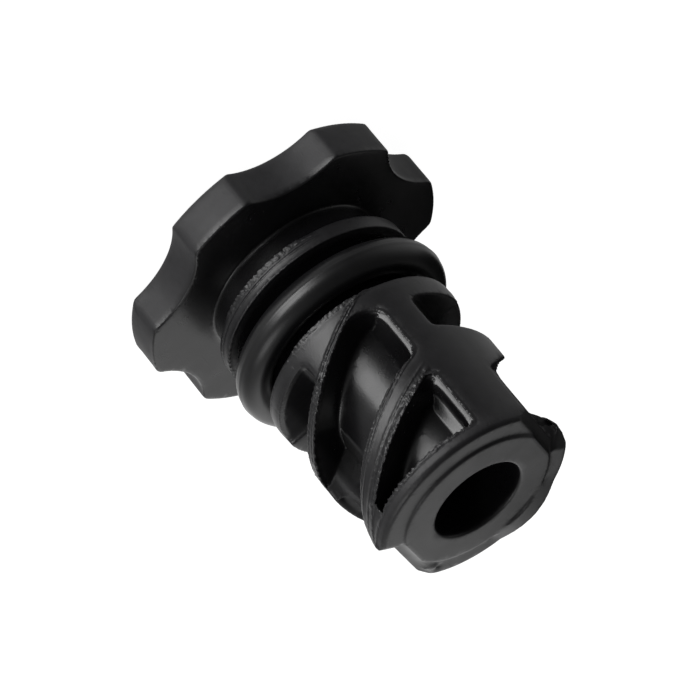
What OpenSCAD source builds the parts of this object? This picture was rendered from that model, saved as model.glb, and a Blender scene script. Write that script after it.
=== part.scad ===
// Moulded screw-in cap for a transmission dipstick tube, standing on its grip head.
// The head's outer face is at z = 0 and the open end of the shank points up.
// The shank is formed by two slides that pull apart along Y, so every groove and
// pocket is an outline in the XZ plane, cut straight along Y on one half and
// repeated on the other half by a half turn about the axis.

/* [Head] */
// Distance across the crests of the grip head
head_d = 41; // [39:0.1:46]
// Thickness of the grip head
head_t = 5.5; // [4:0.05:7]
// Number of lobes round the head
lobes = 6; // [5:1:7]
// Distance from the axis to the floor of each hollow between the lobes
hollow_floor_r = 17.65; // [16.9:0.05:18.2]
// Angle that the crest of one lobe spans
lobe_span = 25; // [22:0.2:30]
// Turn of the first lobe about the axis, counted from +X
lobe_turn = 37.1; // [0:0.1:60]
// Rounding along the lobes' rim at the outer face
rim_round = 0.9; // [0.4:0.1:1.2]
// Rounding along the rim of each hollow at the outer face
hollow_round = 0.4; // [0.2:0.1:0.9]
// Rounding of the lobes' upright corners
corner_round = 1.4; // [0.5:0.1:1.8]
// Diameter of the shallow dish in the outer face
dish_d = 26; // [16:0.5:31]
// Depth of the dish
dish_depth = 0.8; // [0.4:0.1:1.5]

/* [Neck] */
// Diameter of the plain neck under the head
neck_d = 23.4; // [22:0.1:25]
// Height of the plain neck
neck_h = 3.75; // [2:0.05:6]
// Diameter of the flange above the O-ring
flange_d = 26.8; // [25.6:0.1:28]
// Thickness of that flange
flange_t = 2; // [1.2:0.1:2.5]
// Diameter of the floor of the O-ring groove
gland_d = 20.8; // [19.5:0.1:22]
// Width of the O-ring groove
gland_w = 8.4; // [6:0.1:10]
// Slope of the groove's two walls, in millimetres over their full depth
gland_slope = 0.6; // [0:0.1:1]

/* [O-ring] */
// Thickness of the ring's round section
ring_section = 4.4; // [3.5:0.1:5.5]
// Clearance between the ring and the floor of its groove
ring_fit = 0.02; // [0:0.01:0.1]
// Distance of the ring from the middle of its groove, towards the open end
ring_shift = 0.2; // [-0.4:0.1:0.6]

/* [Shank] */
// Outer diameter of the shank over its ribs
shank_d = 26.5; // [25:0.1:28]
// Length of the shank from the O-ring groove to its flanged end
shank_len = 24.6; // [24.2:0.1:28]
// Diameter of the core tube at the bottom of the grooves
core_d = 16; // [15:0.1:18]
// Diameter of the blind bore
bore_d = 12.1; // [10:0.1:12.6]
// Depth of the blind bore from the end face
bore_depth = 34; // [25:0.5:36]
// Rounding of the mouth of the bore
mouth_round = 0.25; // [0.1:0.05:0.4]
// Outer diameter of the raised face round the bore
face_d = 20.6; // [19:0.1:22]
// Height of the raised face above the end flange
face_h = 0.35; // [0.2:0.05:0.6]
// Thickness of the end flange
end_t = 1.9; // [1.5:0.1:2.6]
// Bevel round the end flange
end_bevel = 0.5; // [0.3:0.1:1]
// Height of the low stop bump on the end flange
bump_h = 0.75; // [0.3:0.05:0.9]
// Length of the bump along the rim
bump_len = 10; // [6:0.5:12]
// Turn of the bump about the axis, counted from +X
bump_turn = 107; // [95:1:120]

/* [Quick thread] */
// Climb of the main groove's lower side, per turn
lead = 40.3; // [36:0.1:44]
// Height of the main groove's lower side at the middle, above the collar
groove_floor_z = 13.05; // [12:0.05:14]
// Height of the first rib's upper side at the middle, above the collar
rib_top_z = 3.4; // [3:0.05:3.6]
// Height of the first rib's lower side at the middle, above the collar
rib_low_z = 2.3; // [1.8:0.05:2.5]
// Slope of the first rib's upper side
rib_top_slope = 0.57; // [0.5:0.01:0.62]
// Slope of the first rib's lower side
rib_low_slope = 0.52; // [0.46:0.01:0.56]
// Distance from the axis plane to the web's edge at the grooves
web_x = 5.8; // [5:0.1:6.4]
// Draft of the web's wall in the grooves
web_draft = 16; // [4:0.5:20]
// Radius of the arch at the closed end of the main groove
arch_r = 3; // [2:0.1:3.4]
// Radius of the corner below that arch
groove_corner_r = 1.6; // [0.8:0.1:2.4]
// Radius of the corners in the pockets
pocket_r = 0.8; // [0.4:0.1:1.2]

/* [Pockets] */
// Height of the collar above the O-ring groove
collar_h = 2.45; // [2:0.05:2.8]
// Height of the collar beside the side pocket
side_collar_h = 3.25; // [2.8:0.05:3.5]
// Left end of the small pocket under the collar
nook_x = 5.3; // [4.6:0.1:6]
// Height of the end pocket's upper side at the middle, above the collar
end_pocket_z = 16.7; // [16.2:0.05:17.4]
// Slope of the end pocket's upper side
end_pocket_slope = 0.5; // [0.44:0.01:0.54]
// Distance from the axis plane to the side pocket's wall
side_pocket_x = 9.17; // [8.6:0.05:10]
// Height of the wing's lower edge at the parting plane, above the collar
wing_low_z = 9.6; // [9:0.05:10.2]
// Drop of the wing's lower edge, from the parting plane to the web
wing_low_drop = 1.5; // [0.5:0.1:2.2]
// Height of the wing's upper edge at the parting plane, above the collar
wing_top_z = 12.9; // [12:0.05:13.4]
// Tilt of the wing's upper side
wing_tilt = 24.5; // [10:0.5:30]

/* [Flats] */
// Distance from the axis plane to the flat
flat_x = 11.2; // [10.6:0.05:12]
// Distance by which the flat's end is bevelled
flat_bevel = 1.3; // [0.6:0.05:1.6]
// Height of that bevel
flat_bevel_h = 1.2; // [0.8:0.1:2.6]
// Distance by which the flat runs past the axis plane at the end face
flat_past = 3.5; // [2:0.1:4.5]
// Slant of the bevel across the lug's corner, seen along the axis
lug_slant = 55; // [30:1:60]
// Tilt of that bevel from the end face
lug_tilt = 36; // [20:1:50]
// Height of that bevel
lug_bevel_h = 2.4; // [1:0.1:3]

/* [Hidden] */
$fn = 96;
head_r = head_d / 2;
shank_r = shank_d / 2;
core_r = core_d / 2;
flange_z = head_t + neck_h;
gland_z = flange_z + flange_t;
collar_z = gland_z + gland_w;
end_z = collar_z + shank_len;
total_len = end_z + face_h;
end_flange_z = end_z - end_t;
wing_slope = tan(wing_tilt);
// Reach of a cutting shape past the surface that it cuts
past = 1;
// Straight steps in one rounded corner of an outline
arc_steps = 6;
// Spacing of the points along the helix
helix_step = 1.25;

// Height of the helix at sideways place x, counted from its height at x = 0
function helix(x) = lead * asin(max(-1, min(1, x / shank_r))) / 360;
// Centre distance of the circle that passes the hollow's floor and both crest corners
hollow_half = 180 / lobes - lobe_span / 2;
hollow_c = (head_r * head_r - hollow_floor_r * hollow_floor_r)
    / (2 * (head_r * cos(hollow_half) - hollow_floor_r));
hollow_r = hollow_c - hollow_floor_r;

// A shape drawn in the XZ plane and pushed along -Y
module draw_cut() {
    rotate([90, 0, 0])
        linear_extrude(shank_r + past)
            children();
}

// Disc of the head with its outer rim rounded
module head_disc() {
    rotate_extrude() {
        translate([0, rim_round])
            square([head_r, head_t - rim_round]);
        square([head_r - rim_round, head_t]);
        translate([head_r - rim_round, rim_round])
            circle(rim_round);
    }
}

// Points of an arc that rounds corner b of the path a, b, c with radius r
function corner_arc(a, b, c, r) =
    let (
        u = (a - b) / norm(a - b),
        v = (c - b) / norm(c - b),
        half = acos(u * v) / 2,
        centre = b + (u + v) / norm(u + v) * r / sin(half),
        from = b + u * r / tan(half) - centre,
        to = b + v * r / tan(half) - centre,
        start = atan2(from[1], from[0]),
        turn = atan2(to[1], to[0]) - start,
        sweep = turn > 180 ? turn - 360 : turn < -180 ? turn + 360 : turn
    )
    [for (i = [0 : arc_steps])
        centre + r * [cos(start + sweep * i / arc_steps), sin(start + sweep * i / arc_steps)]];

// Closed path whose corners are rounded; each entry of corners is [x, z, radius]
function rounded(corners) =
    let (n = len(corners))
    [for (i = [0 : n - 1])
        let (
            a = corners[(i + n - 1) % n],
            b = corners[i],
            c = corners[(i + 1) % n]
        )
        each b[2] == 0 ? [[b[0], b[1]]]
            : corner_arc([a[0], a[1]], [b[0], b[1]], [c[0], c[1]], b[2])];

// Cutter for one hollow: a cylinder that flares at the outer face to round the edge
module hollow_cutter() {
    rotate_extrude() {
        translate([0, -past])
            square([hollow_r, head_t + 2 * past]);
        difference() {
            translate([0, -past])
                square([hollow_r + hollow_round, hollow_round + past]);
            translate([hollow_r + hollow_round, hollow_round])
                circle(hollow_round);
        }
    }
}

// What the rounding takes off one corner between a crest and a hollow
module corner_trim() {
    fillet_d = head_r - corner_round;
    turn = acos((fillet_d * fillet_d + hollow_c * hollow_c - pow(hollow_r + corner_round, 2))
        / (2 * fillet_d * hollow_c));
    centre = fillet_d * [cos(turn), sin(turn)];
    to_hollow = [hollow_c, 0] - centre;
    translate([0, 0, -past])
        linear_extrude(head_t + 2 * past)
            difference() {
                polygon([
                    centre,
                    head_r * [cos(turn), sin(turn)],
                    1.05 * head_r * [cos(hollow_half), sin(hollow_half)],
                    centre + to_hollow / norm(to_hollow) * corner_round
                ]);
                translate(centre)
                    circle(corner_round);
            }
}

// Grip head with its hollows, rounded corners and the shallow dish
module head() {
    difference() {
        head_disc();
        for (i = [0 : lobes - 1])
            rotate(lobe_turn + (i + 0.5) * 360 / lobes) {
                translate([hollow_c, 0, 0])
                    hollow_cutter();
                corner_trim();
                mirror([0, 1, 0])
                    corner_trim();
            }
        translate([0, 0, -past])
            cylinder(d = dish_d, h = dish_depth + past);
    }
}

// Section of the neck, the O-ring groove, the shank and the raised end face
module turned_section() {
    polygon([
        [0, head_t - past],
        [neck_d / 2, head_t - past],
        [neck_d / 2, flange_z],
        [flange_d / 2, flange_z],
        [flange_d / 2, gland_z],
        [gland_d / 2, gland_z + gland_slope],
        [gland_d / 2, collar_z - gland_slope],
        [shank_r, collar_z],
        [shank_r, end_z - end_bevel],
        [shank_r - end_bevel, end_z],
        [face_d / 2, end_z],
        [face_d / 2, total_len],
        [0, total_len]
    ]);
}

// Outline of the main groove of the quick thread
module main_groove_outline() {
    floor_z = collar_z + groove_floor_z;
    roof_z = collar_z + rib_top_z;
    out_x = shank_r + past;
    polygon(rounded(concat(
        [
            [-web_x, roof_z - rib_top_slope * web_x, arch_r],
            [shank_r, roof_z + rib_top_slope * shank_r, 0],
            [out_x, roof_z + rib_top_slope * shank_r, 0],
            [out_x, floor_z + helix(shank_r), 0]
        ],
        [for (x = [shank_r : -helix_step : groove_corner_r - web_x]) [x, floor_z + helix(x), 0]],
        [[-web_x, floor_z + helix(-web_x), groove_corner_r]]
    )));
}

// Wall of the web in the grooves, seen along the axis, with its draft
module web_wall_plan() {
    crest_y = -sqrt(shank_r * shank_r - web_x * web_x);
    polygon([
        [-web_x + (-shank_r - past - crest_y) * tan(web_draft), -shank_r - past],
        [shank_r + past, -shank_r - past],
        [shank_r + past, 0],
        [-web_x - crest_y * tan(web_draft), 0]
    ]);
}

// Outline of the pocket between the second rib and the end flange
module end_pocket_outline() {
    roof_z = collar_z + end_pocket_z;
    right_x = (end_flange_z - roof_z) / end_pocket_slope;
    polygon(rounded([
        [-web_x, end_flange_z, pocket_r],
        [-web_x, roof_z - end_pocket_slope * web_x, pocket_r],
        [right_x, end_flange_z, pocket_r / 2]
    ]));
}

// Outline of the small pocket between the collar and the first rib
module nook_outline() {
    out_x = shank_r + past;
    polygon(rounded([
        [nook_x, collar_z + collar_h, pocket_r],
        [out_x, collar_z + collar_h, 0],
        [out_x, collar_z + rib_low_z + rib_low_slope * out_x, 0],
        [nook_x, collar_z + rib_low_z + rib_low_slope * nook_x, pocket_r]
    ]));
}

// Outline of the side pocket between the collar and the wing
module side_pocket_outline() {
    out_x = shank_r + past;
    drop = wing_low_drop / (shank_r - side_pocket_x);
    polygon(rounded([
        [-side_pocket_x, collar_z + side_collar_h, pocket_r],
        [-side_pocket_x, collar_z + wing_low_z - wing_low_drop, pocket_r],
        [-out_x, collar_z + wing_low_z + drop * past, 0],
        [-out_x, collar_z + side_collar_h, 0]
    ]));
}

// Section of the space beside the flat, drawn in YZ, between the wing's tilted side
// and the sloping end of the other half's lug
module flat_side_section() {
    low_z = collar_z + wing_top_z;
    out_y = -shank_r - past;
    polygon([
        [out_y, low_z - out_y * wing_slope],
        [0, low_z],
        [0, end_z - flat_past / wing_slope],
        [flat_past + past * wing_slope, end_z + past],
        [out_y, end_z + past]
    ]);
}

// Section across the bevel at the lug's corner
module lug_bevel_section() {
    top_y = flat_past * cos(lug_slant);
    run = 1 / tan(lug_tilt);
    polygon([
        [top_y - lug_bevel_h * run, end_z - lug_bevel_h],
        [top_y + past * run, end_z + past],
        [top_y - lug_bevel_h * run, end_z + past]
    ]);
}

// Space beside the flat, with the bevels at its end and across the lug's corner
module flat_cut() {
    intersection() {
        union() {
            rotate([90, 0, 90])
                translate([0, 0, -shank_r - past])
                    linear_extrude(shank_r + past)
                        flat_side_section();
            translate([flat_bevel / 2 - flat_x, 0, 0])
                rotate([90, 0, 90 - lug_slant])
                    translate([0, 0, -shank_r])
                        linear_extrude(shank_r)
                            lug_bevel_section();
        }
        translate([0, shank_r + past, 0])
            rotate([90, 0, 0])
                linear_extrude(2 * (shank_r + past))
                    polygon([
                        [-shank_r - past, 0],
                        [-flat_x, 0],
                        [-flat_x, end_z - flat_bevel_h],
                        [-flat_x + flat_bevel, end_z],
                        [-flat_x + flat_bevel, total_len + past],
                        [-shank_r - past, total_len + past]
                    ]);
    }
}

// All that one slide forms, cut on the -Y half
module slide_cuts() {
    difference() {
        union() {
            intersection() {
                union() {
                    draw_cut() main_groove_outline();
                    draw_cut() end_pocket_outline();
                }
                linear_extrude(total_len)
                    web_wall_plan();
            }
            draw_cut() nook_outline();
            draw_cut() side_pocket_outline();
        }
        cylinder(r = core_r, h = total_len);
    }
    flat_cut();
}

// Blind bore with a rounded mouth
module bore() {
    translate([0, 0, total_len - bore_depth])
        cylinder(d = bore_d, h = bore_depth + past);
    translate([0, 0, total_len])
        rotate_extrude()
            difference() {
                translate([0, -mouth_round])
                    square([bore_d / 2 + mouth_round, mouth_round + past]);
                translate([bore_d / 2 + mouth_round, -mouth_round])
                    circle(mouth_round);
            }
}

// Low bump on the end flange, the crown of a cylinder that lies along the radius
module stop_bump() {
    crown_r = (bump_len * bump_len / 4 + bump_h * bump_h) / (2 * bump_h);
    rim_r = shank_r - end_bevel;
    intersection() {
        rotate(bump_turn)
            translate([0, 0, end_z + bump_h - crown_r])
                rotate([0, 90, 0])
                    cylinder(r = crown_r, h = rim_r + past);
        translate([0, 0, end_z - end_t / 2])
            difference() {
                cylinder(r = rim_r, h = end_t);
                translate([0, 0, -past])
                    cylinder(d = face_d - past, h = end_t + 2 * past);
            }
    }
}

module cap_body() {
    color([0.07, 0.07, 0.08])
    difference() {
        union() {
            head();
            rotate_extrude()
                turned_section();
            stop_bump();
        }
        for (turn = [0, 180])
            rotate(turn)
                slide_cuts();
        bore();
    }
}

module o_ring() {
    color([0.04, 0.04, 0.04])
    translate([0, 0, gland_z + gland_w / 2 + ring_shift])
        rotate_extrude()
            translate([gland_d / 2 + ring_fit + ring_section / 2, 0])
                circle(d = ring_section);
}

cap_body();
o_ring();
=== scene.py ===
"""Looks of a screw-in dipstick cap: black moulding with soft edges, flash and a rubber ring.

The cap stands on its grip head at the origin, with the open end of the shank up.
The moulding's sharp frame is turned into a distance field, its edges are rounded
there, and the thin beads of flash that a mould leaves along its parting edges are
added before the surface is taken out again.

Sizes are in millimetres up to mesh_object, which makes the meshes in metres.
"""
import math

import bmesh
import bpy
import numpy as np
import openvdb as vdb
from mathutils import Matrix, Vector


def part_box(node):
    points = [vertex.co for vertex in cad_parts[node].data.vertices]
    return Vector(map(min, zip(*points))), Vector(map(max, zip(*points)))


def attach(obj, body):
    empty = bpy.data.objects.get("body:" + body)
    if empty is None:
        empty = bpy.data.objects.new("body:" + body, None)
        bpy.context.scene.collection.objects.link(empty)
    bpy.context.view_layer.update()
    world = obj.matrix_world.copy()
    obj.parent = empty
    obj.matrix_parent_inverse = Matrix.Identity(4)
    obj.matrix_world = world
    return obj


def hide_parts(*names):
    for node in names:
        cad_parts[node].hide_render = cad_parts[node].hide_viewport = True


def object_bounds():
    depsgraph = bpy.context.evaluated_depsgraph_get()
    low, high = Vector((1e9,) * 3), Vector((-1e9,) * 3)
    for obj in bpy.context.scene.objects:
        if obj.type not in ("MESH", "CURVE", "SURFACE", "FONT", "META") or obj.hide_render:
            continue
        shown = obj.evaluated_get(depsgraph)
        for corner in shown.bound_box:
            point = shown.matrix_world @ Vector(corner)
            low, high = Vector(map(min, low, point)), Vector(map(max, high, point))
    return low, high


MM = 0.001

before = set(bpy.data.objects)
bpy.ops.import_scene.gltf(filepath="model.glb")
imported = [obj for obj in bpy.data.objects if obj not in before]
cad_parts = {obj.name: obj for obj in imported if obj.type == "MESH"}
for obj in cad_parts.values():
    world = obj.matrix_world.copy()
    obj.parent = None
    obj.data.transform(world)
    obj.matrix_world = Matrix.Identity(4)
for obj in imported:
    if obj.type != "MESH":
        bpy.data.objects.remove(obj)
cad_low, cad_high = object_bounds()

# Box of the sealing ring, and heights and radius of the moulding
RING_LOW, RING_HIGH = (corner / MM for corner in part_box("o_ring"))
HEAD_T = 5.5
NECK_TOP = 9.25
FLANGE_TOP = 11.25
COLLAR_Z = 19.65
END_Z = 44.25
SHANK_R = 13.25

# Spacing of the distance field, how far from the surface it is known, in voxels,
# and how much of its flat parts' mesh is left out, from 0 to 1
VOXEL = 0.16
BAND = 8
ADAPTIVITY = 0.05

# Spread of the rounding: bore, head and wings, ribs, and the grooves' side walls
# and far corners. An edge counts as full at EDGE_SHARE of its spread, and the bore's
# rounding gives way to the shank's between the two radii of BORE_WALL.
CRISP = 0.1
SOFT = 0.13
ROUND = 0.34
BROAD = 0.62
EDGE_SHARE = 0.8
BORE_WALL = (6.6, 7.4)

# Fine bead and valley along the ribs' edges, and the bead where flash was left
BEAD_HEIGHT = 0.04
BEAD_VALLEY = 0.05
FLASH_HEIGHT = 0.34
FLASH_VALLEY = 1.6

# Slide that forms the grooves: side wall, core, and edges as height and rise over
# the distance to the left of the middle
WEB_X = 5.8
WEB_RIM_Y = 11.91
WEB_LEAN = 0.47
CORE_R = 8.0
RIB_1_LOW = (21.95, 0.52)
RIB_1_TOP = (23.05, 0.57)
RIB_2_LOW = (32.7, 0.55)
RIB_2_TOP = (36.35, 0.5)
POCKET_END = 9.2
END_FLANGE_Z = 42.35
END_FLANGE = (END_FLANGE_Z, 0)
COLLAR_EDGE = (COLLAR_Z, 0)
NECK_EDGE = (NECK_TOP, 0)
FLANGE_EDGE = (FLANGE_TOP, 0)

# Flash in the mesh: edge, strength, how far it spreads, and the distances to the left
# between which it rises and falls. NO_FALL lies past the cap.
NO_FALL = (20, 21)
RIB_SPAN = (-6.5, -5, 8.5, 9.8)
SHANK_FLASH = (
    (RIB_2_LOW, 0.5, 0.6, RIB_SPAN),
    (RIB_2_TOP, 1.0, 0.7, RIB_SPAN),
    (RIB_1_TOP, 0.6, 0.6, (-6, -4, *NO_FALL)),
    (RIB_1_LOW, 0.5, 0.5, (4.5, 5.5, *NO_FALL)),
    (END_FLANGE, 0.9, 0.5, RIB_SPAN),
    (COLLAR_EDGE, 0.9, 0.5, (-5.5, -3, 4, 6.5)),
)
FLANGE_FLASH = (
    (NECK_EDGE, 1.0, 0.5, (-5, -2, 8, 10)),
    (FLANGE_EDGE, 0.5, 0.5, (-8, -2, *NO_FALL)),
)
WEB_FLASH = 0.5
WEB_FLASH_SPREAD = 0.7

# Knots where flash ran together, and gate marks: place and height, and their width
KNOTS = (
    ((5.3, -12.4, 25.2), 0.3), ((11.9, -5.0, 29.5), 0.25), ((9.6, -8.9, 40.6), 0.3),
    ((12.5, -4.5, 42.9), 0.25), ((9.3, 6.5, 44.2), 0.3), ((10.3, 5.9, 44.1), 0.2),
    ((8.9, 7.4, 44.0), -0.2),
)
KNOT_WIDTH = 0.45

# Fine beads of flash in the material: edge, shift up from it, height and width
BEADS = (
    (RIB_1_TOP, -0.3, 0.09, 0.16), (RIB_1_TOP, -0.8, 0.11, 0.28), (RIB_1_LOW, 0.3, 0.09, 0.2),
    (RIB_2_LOW, 0.25, 0.08, 0.14), (RIB_2_LOW, 0.7, 0.07, 0.16), (RIB_2_TOP, -0.5, 0.2, 0.36),
    (RIB_2_TOP, -1.3, 0.08, 0.22), (END_FLANGE, 0.3, 0.13, 0.24), (COLLAR_EDGE, 0.35, 0.1, 0.22),
    (NECK_EDGE, 0.4, 0.12, 0.22), (NECK_EDGE, 0.95, 0.07, 0.16),
)

# How the shading leans away from the mesh. On the core it leans up by LEAN. On a side
# wall it faces BAR_FACING down to BAR_DEPTH from the rim, and at the foot in the end
# pocket, and DARK_FACING elsewhere. In a nook it leans to the front, and in the grooves'
# far corners one facing covers the step.
LEAN = 0.21
BAR_FACING = np.array([0.157, -0.983, 0.094])
DARK_FACING = np.array([0.02, -0.65, 0.76])
BAR_DEPTH = (1.15, 1.4)
FOOT_DEPTH = (2.9, 3.2)
WALL_SHARE = 0.95
NOOK_LEAN = 0.6
CORNER_PULL = 14

# Sealing ring: steps round the axis and round the section, and the mould's seam
RING_AROUND = 288
RING_ACROSS = 72
SEAM_DEPTH = 0.07
SEAM_WIDTH = 0.09
SEAM_REACH = 0.3


def smoothstep(low, high, values):
    """0 below low, 1 above high, and 3t^2 - 2t^3 between them."""
    t = np.clip((values - low) / (high - low), 0, 1)
    return t * t * (3 - 2 * t)


def near(values, target, reach):
    """1 at the target, falling as the bell curve exp(-(distance / reach)^2)."""
    return np.exp(-((values - target) / reach) ** 2)


def merged_mesh(obj):
    """Vertices and triangles of a frame node, with doubles merged."""
    work = bmesh.new()
    work.from_mesh(obj.data)
    bmesh.ops.remove_doubles(work, verts=work.verts, dist=1e-6)
    bmesh.ops.triangulate(work, faces=work.faces)
    points = np.array([v.co for v in work.verts], np.float32) / MM
    triangles = np.array([[v.index for v in f.verts] for f in work.faces], np.uint32)
    work.free()
    return points, triangles


def distance_field(points, triangles):
    """Signed distance to the surface on a regular grid, and the grid's low corner."""
    grid = vdb.FloatGrid.createLevelSetFromPolygons(
        points, triangles=triangles,
        transform=vdb.createLinearTransform(voxelSize=VOXEL), halfWidth=BAND)
    low, high = grid.evalActiveVoxelBoundingBox()
    field = np.zeros([b - a + 1 for a, b in zip(low, high)], np.float32)
    grid.copyToArray(field, ijk=low)
    return field, low


def blurred(field, spread):
    """The field averaged with a bell curve of the given spread, one axis after another."""
    sigma = spread / VOXEL
    reach = math.ceil(3 * sigma)
    offsets = np.arange(-reach, reach + 1)
    weights = np.exp(-0.5 * (offsets / sigma) ** 2)
    weights = (weights / weights.sum()).astype(np.float32)
    for axis in range(3):
        margins = [(reach, reach) if a == axis else (0, 0) for a in range(3)]
        padded = np.pad(field, margins, mode="edge")
        length = field.shape[axis]
        total = np.zeros_like(field)
        for shift, weight in enumerate(weights):
            total += weight * np.take(padded, range(shift, shift + length), axis)
        field = total
    return field


def grid_places(shape, low):
    """x, y and z of the grid's points, as arrays that broadcast."""
    axes = [((np.arange(n) + start) * VOXEL).astype(np.float32) for n, start in zip(shape, low)]
    return axes[0][:, None, None], axes[1][None, :, None], axes[2][None, None, :]


def sampled(field, low, points):
    """The field at free points, as the weighted mean of the eight grid points round each."""
    place = points / VOXEL - np.array(low)
    base = np.clip(np.floor(place).astype(int), 0, np.array(field.shape) - 2)
    part = place - base
    total = np.zeros(len(points))
    for corner in np.ndindex(2, 2, 2):
        weight = np.prod(np.where(np.array(corner) == 1, part, 1 - part), axis=1)
        i, j, k = (base + corner).T
        total += weight * field[i, j, k]
    return total


def slide_side(x, y):
    """Distance to the left on the half that a slide forms; the back is the front turned."""
    return np.where(y < 0, x, -x)


def edge_height(edge, left):
    """Height of a slide's edge at a distance to the left: start plus rise times left."""
    start, rise = edge
    return start + rise * left


def above_collar(z):
    """0 up to just under the collar's upper edge, and 1 on the shank above it."""
    return smoothstep(COLLAR_Z - 0.9, COLLAR_Z - 0.4, z)


def filled(sharp, x, y, z, radius):
    """The field joined with what the slides leave besides the plain outlines.

    The side wall of the grooves is a plane that leans by WEB_LEAN, kept between the
    core and the shank's outside. The end pocket closes at POCKET_END, up to the web in
    the middle. Each solid is the highest of its planes' distances.
    """
    left = slide_side(x, y)
    depth = WEB_RIM_Y - np.abs(y)
    core_side, web_side, low_end, high_end = 7, -7.5, 19.9, 43
    wall = (left + WEB_X - WEB_LEAN * depth) / math.hypot(1, WEB_LEAN)
    wall = np.maximum.reduce(np.broadcast_arrays(
        wall, radius - SHANK_R + 0.25, core_side - radius, web_side - left,
        low_end - z, z - high_end))
    half_web = 3.6
    stop = np.maximum.reduce(np.broadcast_arrays(
        POCKET_END - left, radius - SHANK_R, half_web - np.abs(y),
        edge_height(RIB_2_TOP, left) - 0.5 - z, z - high_end))
    return np.minimum(sharp, np.minimum(wall, stop))


def flash_along(edges, left, z):
    """Sum over a table of edges: strength, times the bell curve of the height from the
    edge, times the smooth rise and fall to the left."""
    total = 0
    for edge, strength, spread, (rise_from, rise_to, fall_from, fall_to) in edges:
        span = smoothstep(rise_from, rise_to, left) * (1 - smoothstep(fall_from, fall_to, left))
        total = total + strength * span * near(z, edge_height(edge, left), spread)
    return total


def flash_map(x, y, z):
    """Where the mould left flash, 0 to 1, times a wrinkle, which is a product of sines."""
    left = slide_side(x, y)
    flash = flash_along(SHANK_FLASH, left, z) + WEB_FLASH * near(left, -WEB_X, WEB_FLASH_SPREAD)
    flash = flash * above_collar(z) + flash_along(FLANGE_FLASH, left, z)
    wrinkle = np.sin(9.1 * x + 4.3 * z + 1.3) * np.sin(7.3 * z - 3.1 * y + 2 * np.sin(2.3 * x))
    return np.clip(flash, 0, 1) * (0.68 + 0.42 * wrinkle)


def edge_mark(blurry, sharp, spread):
    """0 on flats to 1 on outer edges: how far the blurred field lies above the sharp one."""
    return np.clip((blurry - sharp) / (EDGE_SHARE * spread), 0, 1)


def rounding_places(x, y, z, radius):
    """Where each spread holds, from 0 to 1: the shank, the ribs on it, the wings, the
    bore, and the grooves' side walls and far corners, which share the broad spread."""
    left = slide_side(x, y)
    outside = smoothstep(*BORE_WALL, radius)
    shank = above_collar(z) * outside
    ribs = shank * (1 - smoothstep(END_FLANGE_Z + 0.2, END_FLANGE_Z + 0.7, z))
    wings = smoothstep(8.4, 9.6, -left) * smoothstep(COLLAR_Z + 2, COLLAR_Z + 4, z)
    bore = (1 - outside) * (z > HEAD_T)
    off_middle = smoothstep(6, 7, np.abs(y)) * smoothstep(COLLAR_Z + 1.5, COLLAR_Z + 3, z)
    side_wall = ribs * near(left, -WEB_X + 0.6, 1.6) * off_middle * (1 - wings)
    at_side = smoothstep(7, 8.4, np.abs(x)) * (1 - smoothstep(2.5, 4.5, np.abs(y)))
    over_rib = smoothstep(0.5, 1.5, z - edge_height(RIB_1_TOP, np.abs(x)))
    corner = ribs * at_side * over_rib * (1 - smoothstep(12.2, 12.7, radius))
    return shank, ribs, wings, bore, np.maximum(side_wall, corner)


def flash_relief(edge, broad_edge, flash):
    """Height in millimetres that the edges gain: beads, less the fine valleys beside them.

    A bead is where the edge mark is high, and a valley where it is low. Where flash
    was left, both grow, and a rope on the broader mark is added to the bead.
    """
    bead = smoothstep(0.3, 0.7, edge)
    valley = smoothstep(0.08, 0.2, edge) * (1 - smoothstep(0.24, 0.4, edge))
    rope = smoothstep(0.22, 0.6, broad_edge)
    raised = BEAD_HEIGHT * bead + FLASH_HEIGHT * flash * (0.5 * bead + 0.6 * rope)
    return raised - BEAD_VALLEY * (1 + FLASH_VALLEY * flash) * valley


def moulded_surface(obj):
    """The frame node's surface with rounded edges, beads, wrinkles and knots.

    A blurred field rounds an edge, more where the spread is wider. The difference
    between a blurred and the sharp field is high on an outer edge and falls to nothing
    beside it, so it marks the edges for the beads and the valleys. The beads are taken
    off the field, and so is each knot, a bell curve of the distance to its place.
    """
    points, triangles = merged_mesh(obj)
    sharp, low = distance_field(points, triangles)
    x, y, z = grid_places(sharp.shape, low)
    radius = np.sqrt(x * x + y * y)
    sharp = filled(sharp, x, y, z, radius).astype(np.float32)
    crisp, soft, wide, broad = (blurred(sharp, spread) for spread in (CRISP, SOFT, ROUND, BROAD))

    shank, ribs, wings, bore, broadest = rounding_places(x, y, z, radius)
    body = soft + ribs * (1 - wings) * (wide - soft)
    body = body + broadest * (broad - body)
    body = body + bore * (crisp - body)

    edge = edge_mark(wide, sharp, ROUND)
    relief = flash_relief(edge, edge_mark(broad, sharp, BROAD), flash_map(x, y, z))
    relief = relief * smoothstep(NECK_TOP - 1, NECK_TOP - 0.5, z) * (radius > 9) * (1 - wings)
    body = body - relief * (1 - smoothstep(END_FLANGE_Z + 0.6, END_FLANGE_Z + 1, z))

    for (knot_x, knot_y, knot_z), height in KNOTS:
        away = (x - knot_x) ** 2 + (y - knot_y) ** 2 + (z - knot_z) ** 2
        body = body - height * np.exp(-away / KNOT_WIDTH ** 2)

    grid = vdb.FloatGrid()
    grid.transform = vdb.createLinearTransform(voxelSize=VOXEL)
    grid.copyFromArray(body.astype(np.float32), ijk=low)
    points, triangles, quads = grid.convertToPolygons(isovalue=0.0, adaptivity=ADAPTIVITY)
    return points, triangles, quads, sampled(edge * shank, low, points)


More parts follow.
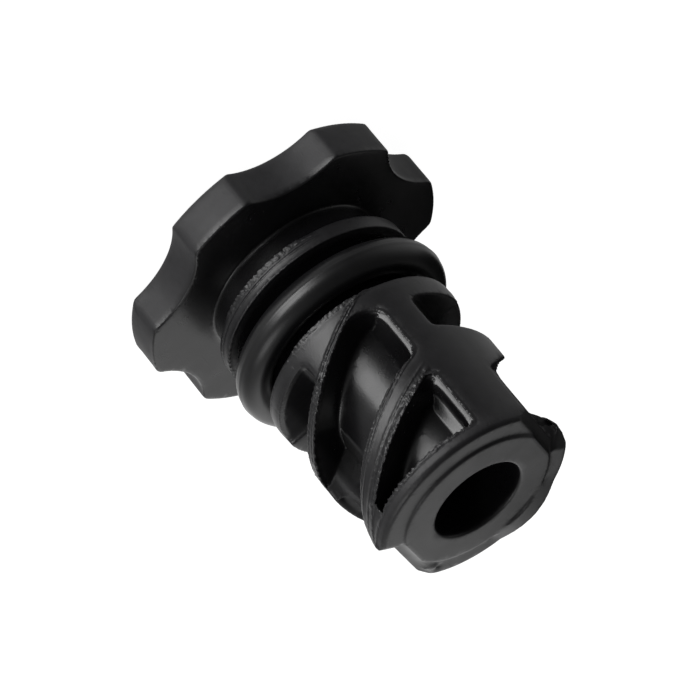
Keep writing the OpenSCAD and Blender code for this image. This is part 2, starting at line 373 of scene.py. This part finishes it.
def polish(points):
    """How glossy the mould left each place, from 0, satin, to 1, polished.

    The head's sides are satin and its underside smooth. The neck and the walls inside
    the grooves are the glossiest, and the end flange's rim is nearly satin.
    """
    x, y, z = points.T
    radius = np.hypot(x, y)
    outer = smoothstep(12.2, 12.9, radius)
    flat = smoothstep(9.8, 10.8, np.abs(x)) * (1 - outer)
    neck = smoothstep(HEAD_T + 0.3, HEAD_T + 0.6, z)
    under = smoothstep(HEAD_T - 0.5, HEAD_T - 0.1, z) * (1 - neck)
    shank = smoothstep(COLLAR_Z - 0.4, COLLAR_Z, z)
    rim = smoothstep(END_FLANGE_Z, END_FLANGE_Z + 0.4, z) * outer
    end = smoothstep(END_Z - 0.5, END_Z - 0.2, z)
    level = 0.12 + 0.63 * under
    level = level + neck * (0.85 - 0.4 * outer - level)
    level = level + shank * (0.52 - 0.15 * flat + 0.25 * (1 - outer) * (1 - flat) - level)
    level = level + rim * (0.22 - level)
    return level + end * (0.6 - level)


def core_share(points, normals):
    """1 on the floor of the grooves, which is the core above the first rib."""
    x, y, z = points.T
    above = z - edge_height(RIB_1_TOP, slide_side(x, y))
    share = near(np.hypot(x, y), CORE_R, 0.35) * smoothstep(-0.2, 0.2, above)
    return share * (z < END_FLANGE_Z) * (1 - smoothstep(0.3, 0.6, np.abs(normals[:, 2])))


def wall_facing(points, normals):
    """Share and facing of the grooves' side walls: bright bars at rim and foot, else dark."""
    x, y, z = points.T
    left = slide_side(x, y)
    half = np.where(y < 0, 1.0, -1.0)
    depth = WEB_RIM_Y - np.abs(y)
    on_shank = (z > COLLAR_Z + 1) * (z < END_FLANGE_Z)
    inside = 1 - smoothstep(12.9, 13.1, np.hypot(x, y))
    by_web = (left > -6.6) * (left < -2.8) * smoothstep(6.2, 6.8, np.abs(y))
    upright = smoothstep(-0.3, -0.1, half * normals[:, 0]) * (np.abs(normals[:, 2]) < 0.6)
    bar = smoothstep(0, 0.2, depth) * (1 - smoothstep(*BAR_DEPTH, depth))
    foot = (z > edge_height(RIB_2_TOP, left) - 0.5) * smoothstep(*FOOT_DEPTH, depth)
    lit = np.maximum(bar, foot)[:, None]
    aim = lit * BAR_FACING + (1 - lit) * DARK_FACING
    facing = np.stack([half * aim[:, 0], half * aim[:, 1], aim[:, 2]], axis=1)
    return on_shank * inside * by_web * upright, facing


def nook_share(points, normals):
    """1 on the floor of the small pockets between the collar and the first rib, with
    the sign + in front and - at the back."""
    x, y, z = points.T
    level = (z > 21.2) * (1 - smoothstep(23.0, 23.3, z)) * smoothstep(0.4, 0.7, normals[:, 2])
    by_side = smoothstep(4, 4.6, slide_side(x, y)) * (1 - smoothstep(12.2, 12.6, np.hypot(x, y)))
    return level * by_side * np.where(y < 0, 1.0, -1.0)


def corner_facing(points, normals):
    """Share and facing of the grooves' far corners, which turns outward toward the rim."""
    x, y, z = points.T
    radius = np.hypot(x, y)
    half = np.where(x > 0, 1.0, -1.0)
    over = z - edge_height(RIB_1_TOP, np.abs(x))
    in_groove = smoothstep(-0.5, -0.1, over) * (over < 12)
    at_side = smoothstep(7.0, 7.8, np.abs(x)) * (half * y > -8) * (half * y < 1)
    upright = (1 - smoothstep(12.5, 13, radius)) * (1 - smoothstep(0.4, 0.7, normals[:, 2]))
    rim = smoothstep(9.5, 13, radius)
    facing = [half * (-0.2 + 1.0 * rim), -half * (0.84 - 0.6 * rim), np.full(len(points), 0.5)]
    return in_groove * at_side * upright, np.stack(facing, axis=1)


def leaned_normals(points, normals):
    """The mesh's normals, leaned where the mould's ground faces catch the light.

    The core, the walls, the nooks and the far corners are leaned one after another:
    a share of a fixed direction is added, or the normal is mixed with a facing. Then
    the length is made 1 again.
    """
    leaned = normals + LEAN * core_share(points, normals)[:, None] * np.array([0, 0, 1])
    share, facing = wall_facing(points, normals)
    leaned = leaned + WALL_SHARE * share[:, None] * (facing - leaned)
    leaned = leaned - NOOK_LEAN * nook_share(points, normals)[:, None] * np.array([0, 1, 0])
    share, facing = corner_facing(points, normals)
    leaned = leaned + CORNER_PULL * share[:, None] * facing
    return leaned / np.linalg.norm(leaned, axis=1)[:, None]


def placed(name, data):
    """An object in the scene for a mesh, a lamp or a camera."""
    obj = bpy.data.objects.new(name, data)
    bpy.context.scene.collection.objects.link(obj)
    return obj


def mesh_object(name, points, faces):
    """A smooth-shaded mesh from points in millimetres, standing on the frame."""
    mesh = bpy.data.meshes.new(name)
    mesh.from_pydata((points * MM).tolist(), [], faces)
    mesh.polygons.foreach_set("use_smooth", [True] * len(mesh.polygons))
    mesh.update()
    return placed(name, mesh)


def moulding():
    """The cap's moulding in place of its frame node, kept inside the CAD's box."""
    points, triangles, quads, edges = moulded_surface(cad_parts["cap_body"])
    points = np.clip(points, np.array(cad_low) / MM, np.array(cad_high) / MM)
    obj = mesh_object("cap_moulding", points, triangles.tolist() + quads.tolist())
    for name, values in (("edge", edges), ("polish", polish(points))):
        mark = obj.data.attributes.new(name, "FLOAT", "POINT")
        mark.data.foreach_set("value", values.astype(np.float32))
    normals = np.zeros(3 * len(points), np.float32)
    obj.data.vertices.foreach_get("normal", normals)
    leaned = leaned_normals(points, normals.reshape(-1, 3))
    obj.data.normals_split_custom_set_from_vertices(leaned.tolist())
    return obj


def sealing_ring():
    """A torus: a circle of the ring's section carried round the axis on a grid.

    The mould's seam runs round its outside, as a fine ridge between two shallow dips.
    At the angle a from the seam, the section's radius is less by SEAM_DEPTH times
    (1 - exp(-(a / SEAM_WIDTH)^2)) exp(-(a / SEAM_REACH)^2).
    """
    section_r = (RING_HIGH.z - RING_LOW.z) / 2
    centre_r = RING_HIGH.x - section_r
    centre_z = (RING_HIGH.z + RING_LOW.z) / 2
    turn = np.linspace(0, 2 * np.pi, RING_AROUND, endpoint=False)[:, None]
    tilt = np.linspace(0, 2 * np.pi, RING_ACROSS, endpoint=False)[None, :]
    from_seam = np.angle(np.exp(1j * tilt))
    dips = (1 - near(from_seam, 0, SEAM_WIDTH)) * near(from_seam, 0, SEAM_REACH)
    swell = section_r - SEAM_DEPTH * dips
    out = centre_r + swell * np.cos(tilt)
    points = np.stack(np.broadcast_arrays(
        out * np.cos(turn), out * np.sin(turn), centre_z + swell * np.sin(tilt)), axis=-1)
    i, j = np.meshgrid(np.arange(RING_AROUND), np.arange(RING_ACROSS), indexing="ij")
    i2, j2 = (i + 1) % RING_AROUND, (j + 1) % RING_ACROSS
    corners = ((i, j), (i2, j), (i2, j2), (i, j2))
    faces = np.stack([a * RING_ACROSS + b for a, b in corners], axis=-1)
    return mesh_object("sealing_ring", points.reshape(-1, 3), faces.reshape(-1, 4).tolist())


def principled(name, base_color):
    """A new material with its Principled BSDF and its node tree."""
    material = bpy.data.materials.new(name)
    material.use_nodes = True
    tree = material.node_tree
    shader = tree.nodes["Principled BSDF"]
    shader.inputs["Base Color"].default_value = (*base_color, 1)
    return material, tree, shader


def joined(tree, links):
    """Link pairs of sockets."""
    for start, end in links:
        tree.links.new(start, end)


def put(tree, socket, value):
    """Give a socket a number, or link another socket to it."""
    if isinstance(value, (int, float)):
        socket.default_value = value
    else:
        tree.links.new(value, socket)


def calc(tree, kind, *values):
    """The result of a Math node."""
    node = tree.nodes.new("ShaderNodeMath")
    node.operation = kind
    for socket, value in zip(node.inputs, values):
        put(tree, socket, value)
    return node.outputs[0]


def chained(tree, kind, terms):
    """A sum or product of several terms."""
    total = terms[0]
    for term in terms[1:]:
        total = calc(tree, kind, total, term)
    return total


def ramp(tree, value, source, target=(0, 1), kind="LINEAR"):
    """A value carried from one range to another, and kept inside it."""
    node = tree.nodes.new("ShaderNodeMapRange")
    node.interpolation_type = kind
    ends = (("From Min", source[0]), ("From Max", source[1]),
            ("To Min", target[0]), ("To Max", target[1]), ("Value", value))
    for name, end in ends:
        put(tree, node.inputs[name], end)
    return node.outputs[0]


def noise(tree, place, scale, detail):
    """The value of a noise texture."""
    node = tree.nodes.new("ShaderNodeTexNoise")
    node.inputs["Scale"].default_value = scale
    node.inputs["Detail"].default_value = detail
    tree.links.new(place, node.inputs["Vector"])
    return node.outputs["Fac"]


def object_place(tree):
    """The place on the object, which the textures follow."""
    return tree.nodes.new("ShaderNodeTexCoord").outputs["Object"]


def attribute(tree, name):
    """The value that the mesh carries under a name."""
    node = tree.nodes.new("ShaderNodeAttribute")
    node.attribute_name = name
    return node.outputs["Fac"]


def moulded_skin():
    """Node group: fine grain, short scratches and puckered edges of a moulded skin.

    Height is the sum of a fine noise, a slow waviness, scratches, which are the peaks
    of a noise drawn out along one way, and the pucker along the edges. Sheen is how
    much rougher the place is than its polish says, and Tone how pale the skin is.
    """
    group = bpy.data.node_groups.new("moulded_skin", "ShaderNodeTree")
    for way, names in (("INPUT", ("Grain", "Scuffs", "Edge", "Pucker")),
                       ("OUTPUT", ("Height", "Sheen", "Tone"))):
        for name in names:
            group.interface.new_socket(name, in_out=way, socket_type="NodeSocketFloat")
    start = group.nodes.new("NodeGroupInput").outputs
    end = group.nodes.new("NodeGroupOutput").inputs
    place = object_place(group)
    drawn = group.nodes.new("ShaderNodeMapping")
    drawn.inputs["Scale"].default_value = (1, 0.12, 0.3)
    drawn.inputs["Rotation"].default_value = (0.4, 0.9, 0.3)
    group.links.new(place, drawn.inputs["Vector"])

    grain = calc(group, "MULTIPLY", noise(group, place, 5200, 2), start["Grain"])
    wave = calc(group, "MULTIPLY", noise(group, place, 260, 1), 0.3)
    streak = calc(group, "SUBTRACT", noise(group, drawn.outputs["Vector"], 1500, 1), 0.7)
    scratch = calc(group, "MULTIPLY", calc(group, "MAXIMUM", streak, 0.0), start["Scuffs"])
    pucker = chained(group, "MULTIPLY",
                     [noise(group, place, 2400, 2), start["Edge"], start["Pucker"]])
    blotch = calc(group, "SUBTRACT", noise(group, place, 300, 5), 0.5)
    blotch = calc(group, "MULTIPLY", blotch, 0.16)
    sheen = calc(group, "ADD", blotch, calc(group, "MULTIPLY", scratch, 0.4))
    tone = calc(group, "MULTIPLY", noise(group, place, 900, 6), start["Scuffs"])
    joined(group, [(chained(group, "ADD", [grain, wave, scratch, pucker]), end["Height"]),
                   (sheen, end["Sheen"]), (tone, end["Tone"])])
    return group


# Sockets of a Mix node that mixes colours, and the shares of the base colour it mixes
COLOR_A, COLOR_B, COLOR_RESULT = 6, 7, 2
DARK_SHARE = 0.4
PALE_SHARE = 1.4


def add_skin(tree, shader, skin, roughness, distance, grain, scuffs, pucker=0.0, edge=0.0):
    """Place the skin group in a material, for the shader's colour, roughness and normal.

    Roughness is the given socket or number plus the skin's sheen. The colour goes from
    DARK_SHARE to PALE_SHARE of the shader's own.
    """
    node = tree.nodes.new("ShaderNodeGroup")
    node.node_tree = skin
    for name, value in (("Grain", grain), ("Scuffs", scuffs), ("Pucker", pucker), ("Edge", edge)):
        put(tree, node.inputs[name], value)
    color = tree.nodes.new("ShaderNodeMix")
    color.data_type = "RGBA"
    base = shader.inputs["Base Color"].default_value[:3]
    color.inputs[COLOR_A].default_value = [*(DARK_SHARE * part for part in base), 1]
    color.inputs[COLOR_B].default_value = [*(PALE_SHARE * part for part in base), 1]
    bump = tree.nodes.new("ShaderNodeBump")
    bump.inputs["Distance"].default_value = distance
    joined(tree, [(node.outputs["Tone"], color.inputs[0]),
                  (color.outputs[COLOR_RESULT], shader.inputs["Base Color"]),
                  (calc(tree, "ADD", node.outputs["Sheen"], roughness),
                   shader.inputs["Roughness"]),
                  (node.outputs["Height"], bump.inputs["Height"]),
                  (bump.outputs["Normal"], shader.inputs["Normal"])])
    return bump.outputs["Normal"]


def flash_beads(tree):
    """Height in millimetres of the beads of flash along the slides' edges.

    A bead is its height times the exponential of -(t / width)^2, t from its line. The
    sum is wrinkled by a noise, and kept to the outer face and away from the sides.
    """
    place = object_place(tree)
    split = tree.nodes.new("ShaderNodeSeparateXYZ")
    tree.links.new(place, split.inputs[0])
    x, y, z = (calc(tree, "MULTIPLY", socket, 1 / MM) for socket in split.outputs)
    half = calc(tree, "MULTIPLY", calc(tree, "SIGN", y), -1.0)
    left = calc(tree, "MULTIPLY", half, x)
    squares = calc(tree, "ADD", calc(tree, "MULTIPLY", x, x), calc(tree, "MULTIPLY", y, y))
    bells = []
    for (start, rise), shift, height, width in BEADS:
        away = calc(tree, "SUBTRACT", calc(tree, "SUBTRACT", z, start + shift),
                    calc(tree, "MULTIPLY", left, rise))
        away = calc(tree, "DIVIDE", away, width)
        bell = chained(tree, "MULTIPLY", [away, away, -1.0])
        bells.append(calc(tree, "MULTIPLY", calc(tree, "EXPONENT", bell), height))
    wrinkle = calc(tree, "MULTIPLY", noise(tree, place, 1700, 2), 2.0)
    return chained(tree, "MULTIPLY", [
        chained(tree, "ADD", bells), wrinkle,
        ramp(tree, calc(tree, "SQRT", squares), (12.3, 12.7), kind="SMOOTHSTEP"),
        ramp(tree, left, (-6.0, -5.0), kind="SMOOTHSTEP"),
        ramp(tree, calc(tree, "ABSOLUTE", y), (0.5, 1.5), kind="SMOOTHSTEP")])


def plastic_material(skin):
    """Black moulded plastic, satin to polished as the piece's own attribute says."""
    material, tree, shader = principled("moulded_plastic", (0.0075, 0.0072, 0.0082))
    level = attribute(tree, "polish")
    normal = add_skin(tree, shader, skin, roughness=ramp(tree, level, (0, 1), (0.66, 0.18)),
                      distance=0.0001, grain=0.11, scuffs=ramp(tree, level, (0, 1), (1.9, 0.25)),
                      pucker=1.0, edge=attribute(tree, "edge"))
    bump = tree.nodes.new("ShaderNodeBump")
    bump.inputs["Distance"].default_value = MM
    joined(tree, [(flash_beads(tree), bump.inputs["Height"]), (normal, bump.inputs["Normal"]),
                  (bump.outputs["Normal"], shader.inputs["Normal"])])
    return material


def rubber_material(skin):
    """Black rubber with a soft sheen and hardly any grain."""
    material, tree, shader = principled("ring_rubber", (0.0085, 0.0085, 0.0093))
    add_skin(tree, shader, skin, roughness=0.36, distance=0.00008, grain=0.05, scuffs=0.3)
    return material


# Where the photograph was taken from: the point looked at, in metres, and the view's
# turn, tilt and roll
VIEW_TARGET = Vector((0.0005, 0, 0.0181))
VIEW_DISTANCE = 0.557
VIEW_AZIMUTH = math.radians(2.06)
VIEW_ELEVATION = math.radians(28.66)
VIEW_ROLL = math.radians(140.69)
VIEW_LENS = 238.06
SENSOR = 36


def view_axes():
    """Right, up and back of the picture, as directions in the room."""
    forward = Vector((math.sin(VIEW_AZIMUTH) * math.cos(VIEW_ELEVATION),
                      math.cos(VIEW_AZIMUTH) * math.cos(VIEW_ELEVATION),
                      -math.sin(VIEW_ELEVATION)))
    level = forward.cross(Vector((0, 0, 1))).normalized()
    upright = level.cross(forward)
    right = math.cos(VIEW_ROLL) * level + math.sin(VIEW_ROLL) * upright
    return right, right.cross(forward), -forward


def add_camera():
    """The photograph's camera, as a matrix of the picture's three directions."""
    right, up, back = view_axes()
    data = bpy.data.cameras.new("camera")
    data.lens = VIEW_LENS
    data.sensor_width = SENSOR
    data.clip_start = 0.01
    camera = placed("camera", data)
    turn = Matrix((right, up, back)).transposed().to_4x4()
    camera.matrix_world = Matrix.Translation(VIEW_TARGET + VIEW_DISTANCE * back) @ turn
    bpy.context.scene.camera = camera


def room_direction(azimuth, elevation):
    """Unit vector: azimuth in degrees from the front toward +X, elevation from level."""
    turn, lift = math.radians(azimuth), math.radians(elevation)
    return Vector((math.sin(turn) * math.cos(lift), -math.cos(turn) * math.cos(lift),
                   math.sin(lift)))


LAMP_DISTANCE = 0.8


def soft_lamp(name, azimuth, elevation, wide, tall, brightness):
    """A rectangular lamp that shows from the cap as wide by tall degrees.

    Its power is brightness times pi times its area, so a brightness of 1 is white.
    """
    data = bpy.data.lights.new(name, "AREA")
    data.shape = "RECTANGLE"
    data.size = 2 * LAMP_DISTANCE * math.tan(math.radians(wide / 2))
    data.size_y = 2 * LAMP_DISTANCE * math.tan(math.radians(tall / 2))
    data.energy = brightness * math.pi * data.size * data.size_y
    lamp = placed(name, data)
    direction = room_direction(azimuth, elevation)
    lamp.location = VIEW_TARGET + LAMP_DISTANCE * direction
    lamp.rotation_euler = direction.to_track_quat("Z", "Y").to_euler()
    lamp.visible_camera = False


def sheet(name, corners, material):
    """A flat piece with four corners, in metres."""
    mesh = bpy.data.meshes.new(name)
    mesh.from_pydata(corners, [], [(0, 1, 2, 3)])
    mesh.materials.append(material)
    return placed(name, mesh)


def add_floor():
    """A pale floor under the head: white to the camera, with the cap's soft shadow.

    Only the camera sees it. Other rays pass on to the pale room, whose lower part
    is as bright as the floor.
    """
    material, tree, shader = principled("pale_floor", (0.45, 0.45, 0.45))
    shader.inputs["Roughness"].default_value = 0.9
    shader.inputs["Specular IOR Level"].default_value = 0
    shader.inputs["Emission Color"].default_value = (1, 1, 1, 1)
    shader.inputs["Emission Strength"].default_value = 0.96
    clear = tree.nodes.new("ShaderNodeBsdfTransparent")
    mix = tree.nodes.new("ShaderNodeMixShader")
    path = tree.nodes.new("ShaderNodeLightPath")
    joined(tree, [(path.outputs["Is Camera Ray"], mix.inputs[0]),
                  (clear.outputs[0], mix.inputs[1]),
                  (shader.outputs[0], mix.inputs[2]),
                  (mix.outputs[0], tree.nodes["Material Output"].inputs["Surface"])])
    half = 3.0
    corners = [(-half, -half, 0), (half, -half, 0), (half, half, 0), (-half, half, 0)]
    floor = sheet("floor", corners, material)


def add_painted_shade_sheet():
    """Painted shade: a black sheet behind the cap's right that stands for the shadow there, which
    the cap's shaded faces reflect.

    The camera doesn't see it, and it stands clear of the cap.
    """
    material, _, shader = principled("painted_shade_material", (0.002, 0.002, 0.002))
    shader.inputs["Roughness"].default_value = 1
    shader.inputs["Specular IOR Level"].default_value = 0
    y, left, right, top = 0.06, -0.1, 0.004, 0.064
    corners = [(left, y, 0.0), (right, y, 0.0), (right, y, top), (left, y, top)]
    card = sheet("painted_shade_sheet", corners, material)
    card.visible_camera = False
    card.visible_shadow = False


# Pale walls of the room: azimuth, elevation, how narrow, and brightness, where 1 is
# white, and the glow of the room between them
WALLS = (
    (60, -5, 3.0, 0.3),
    (162, -20, 4.5, 1.25),
    (-108, -8, 7.0, 0.58),
    (0, -90, 6.0, 1.0),
    (155, 32, 9.0, 1.0),
    (20, -12, 7.0, 0.35),
    (80, 65, 5.0, 0.17),
)
ROOM_GLOW = 0.03


def set_world():
    """White to the camera. To other rays the room is a sum of soft pale walls.

    A wall adds its brightness times the exponential of how narrow it is times the
    cosine of the angle to its middle, less one.
    """
    world = bpy.data.worlds.new("room")
    bpy.context.scene.world = world
    world.use_nodes = True
    tree = world.node_tree
    background = tree.nodes["Background"]
    view = tree.nodes.new("ShaderNodeTexCoord").outputs["Generated"]
    total = ROOM_GLOW
    for azimuth, elevation, narrow, brightness in WALLS:
        facing = tree.nodes.new("ShaderNodeVectorMath")
        facing.operation = "DOT_PRODUCT"
        facing.inputs[1].default_value = room_direction(azimuth, elevation)
        tree.links.new(view, facing.inputs[0])
        fall = calc(tree, "MULTIPLY_ADD", facing.outputs["Value"], narrow, -narrow)
        total = calc(tree, "MULTIPLY_ADD", calc(tree, "EXPONENT", fall), brightness, total)
    path = tree.nodes.new("ShaderNodeLightPath")
    level = tree.nodes.new("ShaderNodeMix")
    level.inputs["B"].default_value = 1.0
    joined(tree, [(path.outputs["Is Camera Ray"], level.inputs["Factor"]),
                  (total, level.inputs["A"]),
                  (level.outputs["Result"], background.inputs["Strength"])])
    background.inputs["Color"].default_value = (1, 1, 1, 1)


skin = moulded_skin()
plastic = plastic_material(skin)
rubber = rubber_material(skin)

cap = moulding()
cap.data.materials.append(plastic)
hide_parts("cap_body")
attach(cap, "root")

ring = sealing_ring()
ring.data.materials.append(rubber)
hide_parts("o_ring")
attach(ring, "root")

add_camera()
add_floor()
set_world()
soft_lamp("low_lamp", 13, -18, 36, 36, 7.2)
soft_lamp("high_lamp", 68, 41, 24, 24, 2.8)
# Painted shade: a black sheet behind the cap's right, seen only in the cap's reflections
add_painted_shade_sheet()
bpy.context.scene.view_settings.view_transform = "Standard"
